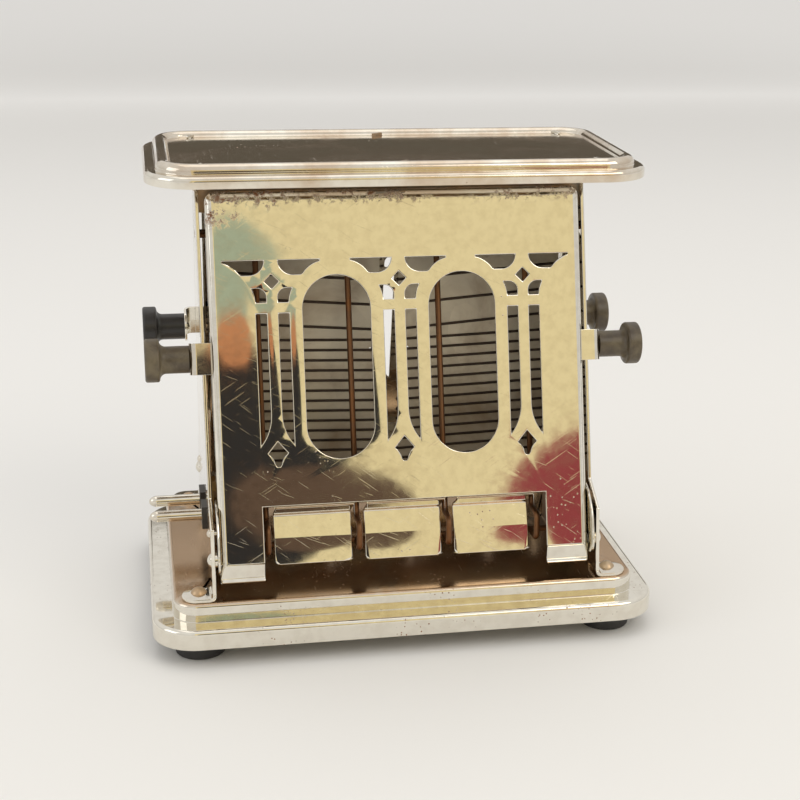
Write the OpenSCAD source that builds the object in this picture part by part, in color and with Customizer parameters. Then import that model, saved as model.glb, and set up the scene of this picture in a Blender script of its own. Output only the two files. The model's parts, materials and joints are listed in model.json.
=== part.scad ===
// Drop side toaster: two pierced doors lean on an A-shaped frame and drop outwards on low hinges,
// an upright heating element stands between them, and a flat cover closes the top.
// Millimetres. X runs along the doors, the front door faces -Y, Z is up, and the table is Z = 0.

/* [Base tray] */
// Width of the base tray over its skirt
base_w = 205; // [200:1:216]
// Depth of the base tray over its skirt
base_d = 139.8; // [136:1:150]
// Height of the skirt's lower edge above the table
skirt_gap = 8; // [7:0.5:9]
// Height of the skirt
skirt_h = 8.1; // [7:0.5:10]
// Rise from the ledge to the plateau
plateau_rise = 7.6; // [6:0.5:9]
// Width of the ledge around the plateau
ledge_w = 8.5; // [7:0.5:9]
// Plan radius of the tray's corners
base_corner_r = 18; // [17:0.5:22]
// Radius of the pressed edges
press_r = 1.8; // [1.2:0.1:2]
// Thickness of the pressed sheet in the tray, cover and doors
sheet = 0.9; // [0.7:0.1:1.1]

/* [Feet] */
// Diameter of each foot
foot_dia = 20; // [17:0.5:22]
// Diameter of the foot's spigot inside the tray
spigot_dia = 13; // [11:0.5:14]
// Distance of the foot centres from the middle, left to right
foot_x = 83.8; // [83.2:0.1:85]
// Distance of the foot centres from the middle, front to back
foot_y = 52.3; // [51:0.1:53]
// Diameter of the rivets that hold the feet and the end plates
foot_rivet_dia = 3.2; // [2.6:0.1:3.6]
// Diameter of the rivets' domed heads
foot_rivet_head = 6.4; // [5.6:0.1:7]

/* [Doors] */
// Width of a door
door_w = 150.2; // [148:0.2:152]
// Length of a door along its slope
door_h = 154.3; // [152:0.1:156]
// Lean of the closed doors from upright, in degrees
door_lean = 15; // [14:0.1:16]
// Distance of a door's foot from the middle plane
door_foot_y = 56.5; // [56:0.1:57.5]
// Height of a door's foot above the table
door_foot_z = 29.2; // [29:0.1:31]
// Depth of the door's turned edges
door_edge = 6; // [5:0.1:6.5]
// Outside radius of the door's turned edges
door_edge_r = 3; // [2.2:0.1:3.2]
// Distance of the hinge axis above the door's foot, along the slope
hinge_v = 10.2; // [10:0.1:12]
// Width of the cut-out between the door's legs
cutout_w = 115; // [114:0.5:116]
// Height of the cut-out between the door's legs
cutout_h = 30; // [29:0.1:31]
// Height of the inward curled band at the foot of each leg
curl_h = 7.7; // [7:0.1:9]

/* [Toast shelves] */
// Width of each of the three shelf tabs
tab_w = 31.5; // [29:0.1:32]
// Spacing of the shelf tabs
tab_pitch = 36.9; // [36.5:0.1:37.3]
// Depth of the shelf behind the door face
shelf_d = 15; // [13:0.1:15.4]
// Fall of the shelf from the door to its inner edge
shelf_fall = 4.7; // [4:0.1:6]
// Distance of the lower part of the tab behind the door face
tab_d = 13.3; // [11.5:0.1:13.6]
// Height of the tab's lower part
tab_h = 10.9; // [9:0.1:12]

/* [Pierced pattern] */
// Spacing of the three pierced columns
column_pitch = 50.5; // [50:0.1:51]
// Width of each round-ended window
window_w = 26.9; // [24:0.1:27.6]
// Height of each round-ended window
window_h = 72.8; // [68:0.1:74]
// Distance from the door's top to the windows
window_top = 33.6; // [33:0.1:36]
// Half of the bar between a column's two slots
bar_half = 2.3; // [2:0.1:2.6]
// Width of each tall slot
slot_w = 4.2; // [3.6:0.1:4.4]

/* [End plates] */
// Thickness of the end plates
plate_t = 1.5; // [1.2:0.1:1.6]
// Side clearance between a door and an end plate
plate_gap = 2; // [1.8:0.1:2.4]
// Distance of the plates' edges behind the door faces
plate_back = 5.6; // [5.4:0.1:6.2]
// Width of the plates' turned feet
plate_foot_w = 12; // [10:0.1:13]
// Reach of the plates' turned feet from the plate
plate_foot_reach = 12; // [11:0.1:13]

/* [Top cover] */
// Height of the whole toaster over the cover's rim
overall_h = 192.9; // [192.5:0.1:195]
// Width of the cover
cover_w = 195.5; // [190:0.5:200]
// Depth of the cover
cover_d = 95; // [92:0.5:98]
// Plan radius of the cover's corners
cover_corner_r = 19; // [17:0.5:22]
// Height of the cover's skirt
cover_skirt_h = 4.5; // [4:0.1:4.9]
// Distance of the rim's crest inside the cover's edge
rim_in = 7.3; // [6.5:0.1:8]
// Radius of the rounded rim
rim_r = 3; // [2.5:0.1:3.2]
// Depth of the sunk panel below the rim's crest
panel_drop = 2; // [1.6:0.1:2.2]
// Distance of the twist lugs from the middle plane
lug_y = 34.4; // [33:0.1:34.8]

/* [Knobs] */
// Length of a knob
knob_l = 17.2; // [15:0.1:19]
// Diameter of a knob's rim
knob_rim_dia = 17.2; // [15:0.1:18]
// Diameter of a knob's neck
knob_neck_dia = 10.8; // [9:0.1:11.5]
// Thickness of a knob's rim
knob_rim_t = 5.8; // [4.5:0.1:6.5]
// Distance of the knob axis below the door's top
knob_drop = 65; // [62:0.5:68]
// Distance of the knob axis behind the door face
knob_d = 8.8; // [8:0.1:9.4]
// Reach of the knob strap beyond the end plate
strap_reach = 4.8; // [4.4:0.1:5.5]
// Height of the knob strap
strap_h = 12.5; // [11:0.1:13]
// Thickness of the knob strap
strap_t = 1; // [0.8:0.1:1.2]
// Diameter of the knob screws
knob_screw_dia = 3; // [2.6:0.1:3.4]

/* [Guards] */
// Diameter of the guard wires
wire_dia = 2.4; // [2:0.1:2.6]
// Distance of the guard wires behind the door face
wire_d = 16.6; // [16.4:0.1:17]
// Distance of the toast rests in front of the hinge line's back clearance
hook_y = 44.5; // [43:0.1:45]
// Height of the hooks' upper bar
hook_top_z = 46.5; // [45.5:0.1:47]
// Height of the hooks' lower bar
hook_low_z = 36; // [35:0.1:37]

/* [Heating element] */
// Thickness of the mica cards
card_t = 0.8; // [0.6:0.1:1]
// Distance of the cards' inner edges from the middle
card_in = 4; // [3.5:0.1:5]
// Distance of the cards' outer edges from the middle
card_out = 72; // [71:0.1:72.5]
// Width of the resistance ribbon
ribbon_w = 1.1; // [0.9:0.1:1.4]
// Thickness of the resistance ribbon
ribbon_t = 0.5; // [0.4:0.05:0.6]
// Spacing of the close turns
fine_pitch = 4.4; // [4.2:0.05:4.5]
// Spacing of the open turns at the top
coarse_pitch = 10.6; // [10:0.1:10.8]
// Height of the first turn above the table
winding_z = 52; // [51.5:0.1:52.5]

/* [Plug pins] */
// Diameter of a plug pin
pin_dia = 4.76; // [4.5:0.01:5]
// Spacing of the two plug pins
pin_spacing = 17.5; // [16.5:0.1:19]
// Reach of the plug pins beyond the left end plate
pin_reach = 22.9; // [20:0.1:24]
// Height of the plug pins above the table
pin_z = 40.8; // [40:0.1:44]
// Side of the insulating washers
washer_side = 9.6; // [9:0.1:11]
// Thickness of the insulating washers
washer_t = 1.6; // [1.2:0.1:2]

/* [Hinges] */
// Diameter of the hinge pins
hinge_dia = 4; // [3.4:0.1:4.4]
// Radial clearance of the hinge pins in their ears
hinge_clear = 0.06; // [0.03:0.01:0.1]
// Radius of the rounded hinge ear
ear_r = 6; // [5.4:0.1:6.1]
// Thickness of the hinge ears
ear_t = 1; // [0.8:0.1:1.1]
// Diameter of the stop studs
stud_dia = 2.4; // [2:0.1:2.6]

/* [Hidden] */
$fn = 48;

// Heights and planes that several pieces share
plateau_z = skirt_gap + skirt_h + plateau_rise;
plate_in = door_w / 2 + plate_gap;
plate_out = plate_in + plate_t;
panel_z = overall_h - panel_drop;
plate_top = panel_z - sheet;
cover_z = overall_h - panel_drop - cover_skirt_h - 1.9;
cover_ledge_z = cover_z + cover_skirt_h;
strap_out = plate_out + strap_reach;
knob_v = door_h - knob_drop;
press_clear = 0.05;
stop_gap = 0.1;

// World height and depth of a point given along the front door: v up its slope, d behind its face
function door_y(v, d) = -door_foot_y + v * sin(door_lean) + d * cos(door_lean);
function door_z(v, d) = door_foot_z + v * cos(door_lean) - d * sin(door_lean);
// Depth at a height z of the plane that lies d behind the front door's face
function plane_y(z, d) = -door_foot_y + (z - door_foot_z) * tan(door_lean) + d / cos(door_lean);
hinge_y = door_y(hinge_v, 0);
hinge_z = door_z(hinge_v, 0);

// Half profile of a pressed step that reaches $half from the middle, with a rounded upper edge
module step_profile(z0, z1, inset, r) {
    x1 = $half - inset;
    translate([0, z0]) square([x1, z1 - z0 - r]);
    translate([0, z0]) square([x1 - r, z1 - z0]);
    translate([x1 - r, z1 - r]) intersection() {
        circle(r);
        square(r);
    }
}

// Carries a half profile around a rectangle w by d with plan corners of radius rc
module swept(w, d, rc) {
    corners = [[1, 1], [-1, 1], [-1, -1], [1, -1]];
    for (q = [0 : 3])
        translate([corners[q][0] * (w / 2 - rc), corners[q][1] * (d / 2 - rc), 0])
            rotate([0, 0, 90 * q]) rotate_extrude(angle = 90) let ($half = rc) children();
    rotate([90, 0, 90]) linear_extrude(height = w - 2 * rc, center = true)
        for (m = [0, 1]) mirror([m, 0]) let ($half = d / 2) children();
    rotate([90, 0, 0]) linear_extrude(height = d - 2 * rc, center = true)
        for (m = [0, 1]) mirror([m, 0]) let ($half = w / 2) children();
}

// Unit vector from one point to the next, its left normal, and the turn at a corner
function along(a, b) = (b - a) / norm(b - a);
function left_of(u) = [-u[1], u[0]];
function turn_at(p, i) = let (a = along(p[i - 1], p[i]), b = along(p[i], p[i + 1]))
    atan2(a[0] * b[1] - a[1] * b[0], a * b);
function is_corner(p, i) = i > 0 && i < len(p) - 1;
function setback(p, r, i) = is_corner(p, i) ? r[i] * tan(abs(turn_at(p, i)) / 2) : 0;
function corner_centre(p, r, i) = let (a = along(p[i - 1], p[i]))
    p[i] - a * setback(p, r, i) + left_of(a) * r[i] * sign(turn_at(p, i));
function heading(u) = atan2(u[1], u[0]);

// Points of one side of a bent sheet, side away from its middle line, with stepped arcs at the bends
bend_step = 10;
function bend_side(p, r, side) = [for (i = [0 : len(p) - 1])
    if (!is_corner(p, i)) p[i] + side * left_of(along(p[max(i - 1, 0)], p[max(i, 1)]))
    else let (turn = turn_at(p, i), s = sign(turn), n = ceil(abs(turn) / bend_step),
        c = corner_centre(p, r, i), first = heading(along(p[i - 1], p[i])) - 90 * s)
        each [for (k = [0 : n]) let (a = first + turn * k / n)
            c + (r[i] - s * side) * [cos(a), sin(a)]]];
// Flat outline of a sheet of thickness t bent along points, with middle-line radii r
module bent_outline(p, r, t) {
    near = bend_side(p, r, t / 2);
    far = bend_side(p, r, -t / 2);
    polygon(concat(near, [for (i = [len(far) - 1 : -1 : 0]) far[i]]));
}

// Round wire of diameter dia bent along points in a plane, with centre-line radii r
module bent_wire(p, r, dia) {
    for (i = [0 : len(p) - 2]) {
        u = along(p[i], p[i + 1]);
        a = p[i] + u * setback(p, r, i);
        b = p[i + 1] - u * setback(p, r, i + 1);
        translate([a[0], a[1], 0]) rotate([0, 0, heading(u)]) rotate([0, 90, 0])
            cylinder(d = dia, h = norm(b - a), $fn = 24);
    }
    for (i = [1 : len(p) - 2]) let (c = corner_centre(p, r, i), turn = turn_at(p, i),
        first = heading(along(p[i - 1], p[i])) - 90 * sign(turn))
        translate([c[0], c[1], 0]) rotate([0, 0, turn > 0 ? first : first + turn])
            rotate_extrude(angle = abs(turn)) translate([r[i], 0]) circle(d = dia, $fn = 24);
}

// Places what is drawn in a plane as (Y, Z) outlines, with its thickness from x0 towards +X
module across(x0, t) {
    translate([x0, 0, 0]) rotate([90, 0, 90]) linear_extrude(t) children();
}
// Copies to the right and left
module both_sides() {
    for (m = [0, 1]) mirror([m, 0, 0]) children();
}
// Copies to the front and back
module both_doors() {
    for (a = [0, 180]) rotate([0, 0, a]) children();
}
// Door frame: X along the door, Y up its slope from the foot, Z out of its face
module door_frame() {
    translate([0, -door_foot_y, door_foot_z]) rotate([90 - door_lean, 0, 0]) children();
}
// Places an outline given as (d, v) in the door frame, with its thickness from x0 towards +X
module door_across(x0, t) {
    door_frame() translate([x0, 0, 0]) rotate([90, 0, 90]) linear_extrude(t)
        rotate(-90) children();
}
// Domed rivet head standing on Z = 0
module dome(dia, h) {
    ball = (dia * dia / 4 + h * h) / (2 * h);
    rotate_extrude() intersection() {
        translate([0, h - ball]) circle(ball);
        square([dia, h]);
    }
}

/* Base */
module base_tray() color("silver") difference() {
    union() {
        swept(base_w, base_d, base_corner_r)
            step_profile(skirt_gap, skirt_gap + skirt_h, 0, press_r);
        swept(base_w, base_d, base_corner_r)
            step_profile(skirt_gap, plateau_z, ledge_w, press_r);
    }
    swept(base_w, base_d, base_corner_r)
        step_profile(skirt_gap - 1, skirt_gap + skirt_h - sheet, sheet, press_r - sheet / 2);
    swept(base_w, base_d, base_corner_r)
        step_profile(skirt_gap - 1, plateau_z - sheet, ledge_w + sheet, press_r - sheet / 2);
    at_feet() cylinder(d = foot_rivet_dia + 2 * press_clear, h = overall_h);
    at_strap_feet() cylinder(d = strap_rivet_dia + 2 * press_clear, h = overall_h);
}
module at_feet() {
    for (sx = [-1, 1], sy = [-1, 1]) translate([sx * foot_x, sy * foot_y, 0]) children();
}
foot_h = skirt_gap;
recess_dia = 9;
recess_h = 5;
module feet() color("dimgray") at_feet() difference() {
    union() {
        rotate_extrude() {
            square([foot_dia / 2 - 1, foot_h]);
            translate([0, 1]) square([foot_dia / 2, foot_h - 1]);
            translate([foot_dia / 2 - 1, 1]) circle(1);
        }
        cylinder(d = spigot_dia, h = plateau_z - sheet);
    }
    translate([0, 0, -1]) cylinder(d = recess_dia, h = recess_h + 1);
    cylinder(d = foot_rivet_dia + 2 * press_clear, h = overall_h);
}
washer_low_t = 0.8;
module foot_washers() color("gray") at_feet() translate([0, 0, recess_h - washer_low_t])
    difference() {
        cylinder(d = recess_dia - 1, h = washer_low_t);
        translate([0, 0, -1]) cylinder(d = foot_rivet_dia + 2 * press_clear, h = 3);
    }
head_low_h = 1.6;
module foot_rivets() color("silver") at_feet() {
    top = plateau_z + plate_t;
    low = recess_h - washer_low_t;
    translate([0, 0, low]) cylinder(d = foot_rivet_dia, h = top - low);
    translate([0, 0, top]) dome(foot_rivet_head, 2.1);
    translate([0, 0, low - head_low_h]) cylinder(d = foot_rivet_head - 1, h = head_low_h);
}

/* End plates */
plate_bend_r = plate_t * 0.8;
nose_low = 6.3;
nose_high = 2.3;
nose_h = 13.5;
nose_slope_h = 8;
head_half = cover_d / 2 - rim_in - rim_r - 1.2;
head_low_z = cover_z + 0.7;
module plate_outline() {
    z_nose = hinge_z + nose_h;
    z_edge = z_nose + nose_slope_h;
    half = [[hinge_y - nose_low, plateau_z], [hinge_y - nose_high, z_nose],
        [plane_y(z_edge, plate_back), z_edge],
        [plane_y(head_low_z, plate_back), head_low_z], [-head_half, head_low_z],
        [-head_half, plate_top]];
    polygon(concat(half, [for (i = [len(half) - 1 : -1 : 0]) [-half[i][0], half[i][1]]]));
}
module end_plate(with_pins) {
    difference() {
        union() {
            difference() {
                across(plate_in, plate_t) plate_outline();
                both_doors_y() translate([plate_in - 1, hinge_y - nose_low - 1, plateau_z - 1])
                    cube([plate_t + 2, plate_foot_w + 1, plate_t + plate_bend_r + 1]);
            }
            both_doors_y() plate_foot();
            for (s = [-1, 1]) twist_lug(plate_in + plate_t / 2, s * lug_y, 90);
        }
        both_doors_y() {
            across(0, overall_h) translate([hinge_y, hinge_z])
                circle(d = hinge_dia + 2 * press_clear);
            across(0, overall_h) translate([stud_y, stud_z]) circle(d = stud_dia - 0.4);
            for (w = guard_rods) across(0, overall_h) translate(w)
                circle(d = wire_dia + 2 * press_clear);
        }
        for (s = [-1, 1]) across(0, overall_h)
            translate([s * rail_rivet_y, rail_z + rail_h / 2])
                circle(d = strap_rivet_dia + 2 * press_clear);
        if (with_pins) for (s = [-1, 1]) across(0, overall_h)
            translate([s * pin_spacing / 2, pin_z]) circle(d = bush_dia + 2 * press_clear);
    }
}
module both_doors_y() {
    for (m = [0, 1]) mirror([0, m, 0]) children();
}
// Turned foot of an end plate, with its rounded outer end and rivet hole
module plate_foot() {
    y0 = hinge_y - nose_low;
    r = plate_bend_r + plate_t / 2;
    x_mid = plate_in + plate_t / 2;
    end_x = plate_out + plate_foot_reach;
    difference() {
        intersection() {
            translate([0, y0 + plate_foot_w, 0]) rotate([90, 0, 0]) linear_extrude(plate_foot_w)
                bent_outline([[x_mid, plateau_z + plate_t + plate_bend_r],
                    [x_mid, plateau_z + plate_t / 2], [end_x, plateau_z + plate_t / 2]],
                    [0, r, 0], plate_t);
            translate([0, y0, 0]) union() {
                cube([end_x - plate_foot_w / 2, plate_foot_w, overall_h]);
                translate([end_x - plate_foot_w / 2, plate_foot_w / 2, 0])
                    cylinder(d = plate_foot_w, h = overall_h);
            }
        }
        translate([foot_x, -foot_y, 0]) cylinder(d = foot_rivet_dia + 2 * press_clear, h = overall_h);
    }
}
lug_w = 5;
lug_h = 1.1;
lug_t = 1;
lug_twist = 35;
// Lug that stands up through the cover and is twisted to hold it
module twist_lug(x, y, run) translate([x, y, plate_top]) rotate([0, 0, run]) {
    translate([-lug_w / 2, -lug_t / 2, -lug_t]) cube([lug_w, lug_t, sheet + lug_t]);
    translate([0, 0, sheet]) rotate([0, 0, lug_twist]) translate([-lug_w / 2, -lug_t / 2, 0])
        cube([lug_w, lug_t, lug_h]);
}
module end_plate_left() color("lightgray") mirror([1, 0, 0]) end_plate(true);
module end_plate_right() color("lightgray") end_plate(false);

/* Cover */
module rim_profile(inset, z0, drop, r) {
    // Rounded rim whose inner side falls to a panel sunk by drop
    crest = $half - inset;
    top = overall_h - (rim_r - r);
    translate([0, z0]) square([crest, top - drop - z0]);
    translate([0, z0]) square([crest + r, top - r - z0]);
    translate([crest, top - r]) intersection() {
        circle(r);
        translate([-r, 0]) square([2 * r, r]);
    }
}
module lug_slits() {
    slit_l = lug_w + 0.6;
    slit_w = lug_t + 0.6;
    for (s = [-1, 1]) {
        for (x = [-1, 1] * (plate_in + plate_t / 2)) translate([x, s * lug_y, panel_z])
            cube([slit_w, slit_l, 3], center = true);
        translate([0, s * lug_y, panel_z]) cube([slit_l, slit_w, 3], center = true);
    }
}
module top_cover() color("silver") difference() {
    union() {
        swept(cover_w, cover_d, cover_corner_r) step_profile(cover_z, cover_ledge_z, 0, press_r);
        swept(cover_w, cover_d, cover_corner_r) rim_profile(rim_in, cover_z, panel_drop, rim_r);
    }
    swept(cover_w, cover_d, cover_corner_r)
        step_profile(cover_z - 1, cover_ledge_z - sheet, sheet, press_r - sheet / 2);
    swept(cover_w, cover_d, cover_corner_r)
        rim_profile(rim_in, cover_z - 1, panel_drop, rim_r - sheet);
    lug_slits();
}

/* Top rail and cross strap */
rail_t = 1;
rail_half = 8;
rail_h = 21;
strap_cross_t = 0.9;
rail_top = plate_top - strap_cross_t;
rail_z = rail_top - rail_h;
rail_rivet_y = 4;
strap_rivet_dia = 2.6;
rail_flange = 1.2;
// Channel between the end plates that holds the wires and the cards at the top
module top_rail() color("gray") difference() {
    union() {
        translate([-plate_in, -rail_half, rail_z]) cube([2 * plate_in, 2 * rail_half, rail_t]);
        for (s = [-1, 1]) translate([-plate_in, s > 0 ? rail_half - rail_t : -rail_half, rail_z])
            cube([2 * plate_in, rail_t, rail_h]);
        both_sides() translate([plate_in - rail_flange, -rail_half, rail_z])
            cube([rail_flange, 2 * rail_half, rail_h - 2]);
    }
    for (s = [-1, 1]) {
        across(-overall_h, 2 * overall_h) translate([s * rail_rivet_y, rail_z + rail_h / 2])
            circle(d = strap_rivet_dia + 2 * press_clear);
        for (x = wire_x) translate([x, s * plane_y(rail_z + rail_t / 2, wire_d), rail_z - 1])
            cylinder(d = wire_dia + 0.8, h = rail_t + 2);
    }
}
// Strap across the rail's middle, whose lugs hold the cover's long edges
module cross_strap() color("gray") {
    translate([-6, -head_half, rail_top]) cube([12, 2 * head_half, strap_cross_t]);
    for (s = [-1, 1]) twist_lug(0, s * lug_y, 0);
}
rivet_head_h = 1.2;
module rail_rivets() color("gray") both_sides() for (s = [-1, 1])
    translate([plate_out, s * rail_rivet_y, rail_z + rail_h / 2]) {
        rotate([0, 90, 0]) dome(2 * strap_rivet_dia, rivet_head_h);
        rotate([0, -90, 0]) cylinder(d = strap_rivet_dia, h = plate_t + rail_flange);
        translate([-plate_t - rail_flange, 0, 0]) rotate([0, -90, 0])
            dome(1.8 * strap_rivet_dia, rivet_head_h);
    }

/* Element carrier */
strap_half = 6;
strap_z = 41;
strap_end_x = 71;
strap_foot = 10;
module at_strap_feet() {
    for (s = [-1, 1]) translate([s * (strap_end_x - strap_foot / 2 - 1), 0, 0]) children();
}
// Bridge on the tray that carries the cards at the bottom
module lower_strap() color("gray") difference() {
    translate([0, strap_half, 0]) rotate([90, 0, 0]) linear_extrude(2 * strap_half) {
        x = strap_end_x;
        low = plateau_z + rail_t / 2;
        top = strap_z + rail_t / 2;
        bent_outline([[strap_foot - x, low], [-x, low], [-x, top], [x, top], [x, low],
            [x - strap_foot, low]], [0, 1.2, 1.2, 1.2, 1.2, 0], rail_t);
    }
    at_strap_feet() cylinder(d = strap_rivet_dia + 2 * press_clear, h = plateau_z + 5);
}
module strap_rivets() color("gray") at_strap_feet() {
    low = plateau_z - sheet;
    top = plateau_z + rail_t;
    translate([0, 0, low]) cylinder(d = strap_rivet_dia, h = top - low);
    translate([0, 0, top]) dome(2 * strap_rivet_dia, rivet_head_h);
    translate([0, 0, low]) mirror([0, 0, 1]) dome(2 * strap_rivet_dia, rivet_head_h);
}
clip_t = 0.6;
clip_h = 6;
card_low_z = strap_z + rail_t + clip_t;
card_top_z = rail_z - clip_t;
clip_x = 65;
// Folded clips that hold the cards' lower and upper edges
module card_clip(w) {
    y = card_t / 2 + clip_t;
    translate([-w / 2, -y, 0]) cube([w, 2 * y, clip_t]);
    for (s = [-1, 1]) translate([-w / 2, s > 0 ? card_t / 2 : -y, 0]) cube([w, clip_t, clip_h]);
}
module card_clips() color("gray") {
    for (c = [[-clip_x, 10], [0, 18], [clip_x, 10]]) {
        translate([c[0], 0, card_low_z - clip_t]) card_clip(c[1]);
        translate([c[0], 0, card_top_z + clip_t]) mirror([0, 0, 1]) card_clip(c[1]);
    }
}
card_hole_dia = 2;
module mica_card() {
    mid = (card_low_z + card_top_z) / 2;
    difference() {
        translate([card_in, -card_t / 2, card_low_z])
            cube([card_out - card_in, card_t, card_top_z - card_low_z]);
        for (x = [card_in + 3.5, card_out - 3.5], z = [mid + fine_pitch / 2])
            translate([x, 0, z]) rotate([90, 0, 0])
                cylinder(d = card_hole_dia, h = 4 * card_t, center = true);
    }
}
module mica_card_left() color("tan") mirror([1, 0, 0]) mica_card();
module mica_card_right() color("tan") mica_card();

/* Windings */
fine_halves = 29;
coarse_halves = 8;
halves = fine_halves + coarse_halves;
coil_y = card_t / 2 + ribbon_t / 2 + 0.02;
tail_out = 64;
tail_in = 12;
// Height at the start of each half turn, counted from the bottom
function half_z(h) = winding_z + min(h, fine_halves) * fine_pitch / 2
    + max(0, h - fine_halves) * coarse_pitch / 2;
// Ring centres: even half turns run inwards on the back, odd ones outwards on the front
function half_ends(h) = h % 2 == 0
    ? [h == 0 ? tail_out : card_out, h == halves - 1 ? tail_in : card_in]
    : [card_in, card_out];
function half_points(h) = let (e = half_ends(h), side = h % 2 == 0 ? 1 : -1, z0 = half_z(h),
    z1 = half_z(h + 1), way = sign(e[1] - e[0]))
    concat([[e[0], side * coil_y, z0]],
        h == 0 ? [[e[0] + way * ribbon_w, side * coil_y, z0]] : [],
        h == halves - 1 ? [[e[1] - way * ribbon_w, side * coil_y, z1]] : [],
        [[e[1], side * coil_y, z1]],
        h == halves - 1 ? [] : [for (a = [30 : 30 : 150])
            [e[1] + way * coil_y * sin(a), side * coil_y * cos(a), z1]]);
coil_points = [for (h = [0 : halves - 1]) each half_points(h)];
// Least distance between two places on the coil that are at least a half turn apart
coil_gap = min([for (i = [0 : len(coil_points) - 1])
    for (j = [i + 6 : len(coil_points) - 1])
        let (v = coil_points[j] - coil_points[i])
            if (abs(v[2]) < coarse_pitch && norm([v[0], v[1] / 10]) < 2 * coil_y)
                norm(v) - (abs(v[2]) > ribbon_w ? ribbon_w : ribbon_t)]);
echo(coil_gap = coil_gap, coil_gap_ok = coil_gap > 0.4);
ring_sides = 6;
// Ribbon section at ring i: wide along Z, thin across the run
function ring(i) = let (n = len(coil_points), p = coil_points[i],
    run = coil_points[min(i + 1, n - 1)] - coil_points[max(i - 1, 0)],
    u = run / norm(run), thin = [-u[1], u[0], 0] / norm([u[0], u[1]]), wide = cross(u, thin))
    [for (k = [0 : ring_sides - 1]) let (a = 360 * k / ring_sides)
        p + thin * ribbon_t / 2 * sin(a) + wide * ribbon_w / 2 * cos(a)];
module winding() {
    n = len(coil_points);
    s = ring_sides;
    faces = concat(
        [[for (k = [0 : s - 1]) k]],
        [[for (k = [s - 1 : -1 : 0]) (n - 1) * s + k]],
        [for (i = [0 : n - 2], k = [0 : s - 1])
            [i * s + k, i * s + s + k, i * s + (k + 1) % s]],
        [for (i = [0 : n - 2], k = [0 : s - 1])
            [i * s + (k + 1) % s, i * s + s + k, i * s + s + (k + 1) % s]]);
    polyhedron([for (i = [0 : n - 1]) each ring(i)], faces, convexity = 10);
}
module winding_left() color("darkslategray") mirror([1, 0, 0]) winding();
module winding_right() color("darkslategray") winding();

/* Leads */
lead_t = 0.6;
lead_w = 4;
eye_x = plate_in - washer_t - lead_t;
lead_run_y = 6;
jumper_z = half_z(halves);
module jumper_strip() color("goldenrod")
    translate([-tail_in, card_t / 2, jumper_z - lead_w / 2]) cube([2 * tail_in, lead_t, lead_w]);
// Eye on a plug pin with an arm up to the height of the first turn, at the left end
module pin_eye(y_top) {
    pin = [pin_spacing / 2, pin_z];
    across(-eye_x - lead_t, lead_t) difference() {
        union() {
            translate(pin) circle(d = 2 * lead_w);
            polygon([pin + [-lead_w / 2, 0], pin + [lead_w / 2, 0],
                [y_top + lead_t, winding_z + lead_w / 2], [y_top, winding_z + lead_w / 2],
                [y_top, winding_z - lead_w / 2]]);
        }
        translate(pin) circle(d = shank_dia + 2 * press_clear);
    }
}
module lead_strip() color("goldenrod") {
    pin_eye(card_t / 2);
    translate([-eye_x - lead_t, card_t / 2, winding_z - lead_w / 2])
        cube([eye_x + lead_t - tail_out, lead_t, lead_w]);
}
module return_strip() color("goldenrod") mirror([0, 1, 0]) {
    pin_eye(lead_run_y);
    translate([-eye_x - lead_t, lead_run_y, winding_z - lead_w / 2])
        cube([eye_x + lead_t + card_in + lead_w, lead_t, lead_w]);
    translate([card_in + lead_w - lead_t, card_t / 2, winding_z - lead_w / 2])
        cube([lead_t, lead_run_y - card_t / 2 + lead_t, lead_w]);
    translate([card_in + lead_w - lead_t, card_t / 2, winding_z - lead_w / 2])
        cube([tail_in - card_in - lead_w + lead_t, lead_t, lead_w]);
}

/* Guards */
wire_x = [-1.5, -0.5, 0.5, 1.5] * tab_pitch;
rod_low = [-34, hook_low_z];
rod_high_z = 158;
rod_high = [plane_y(rod_high_z, wire_d) + wire_dia * 0.95, rod_high_z];
guard_rods = [rod_low, rod_high];
wire_tip_z = rail_z + rail_t + 1.2;
hook_r = 2.4;
// Four bread guard wires with the hooks that reach through the door's slots, and two cross rods
module guard() {
    path = [[plane_y(wire_tip_z, wire_d), wire_tip_z],
        [plane_y(hook_top_z, wire_d), hook_top_z], [-hook_y, hook_top_z],
        [-hook_y, hook_low_z], rod_low];
    for (x = wire_x) translate([x, 0, 0]) rotate([90, 0, 90])
        bent_wire(path, [0, 3, hook_r, hook_r, 0], wire_dia);
    for (w = guard_rods) across(-plate_out, 2 * plate_out) translate(w)
        circle(d = wire_dia, $fn = 24);
}
module guard_front() color("sienna") guard();
module guard_rear() color("sienna") rotate([0, 0, 180]) guard();

/* Hinges */
// The stud stops the ear's back edge when the door is shut and its turned edge when it is open
ear_back = door_edge + 0.25;
stud_d = ear_back + stud_dia / 2 + stop_gap;
stud_v = (door_edge + stud_dia / 2 + stop_gap + stud_d * sin(door_lean)) / cos(door_lean) + hinge_v;
stud_y = door_y(stud_v, stud_d);
stud_z = door_z(stud_v, stud_d);
stud_reach = plate_gap + sheet + 0.2;
module hinge_pins() color("silver") both_doors() both_sides()
    translate([plate_out, hinge_y, hinge_z]) rotate([0, -90, 0]) {
        mirror([0, 0, 1]) dome(1.4 * hinge_dia, 1.5);
        cylinder(d = hinge_dia, h = plate_t + plate_gap - stop_gap);
        translate([0, 0, plate_t]) cylinder(d = 1.5 * hinge_dia, h = plate_gap - ear_t - stop_gap);
    }
module stop_studs() color("silver") both_doors() both_sides()
    translate([plate_out, stud_y, stud_z]) rotate([0, -90, 0]) {
        mirror([0, 0, 1]) dome(1.5 * stud_dia, 1);
        cylinder(d = stud_dia - 0.4 - 2 * press_clear, h = plate_t);
        translate([0, 0, plate_t]) cylinder(d = stud_dia, h = stud_reach);
    }
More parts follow.
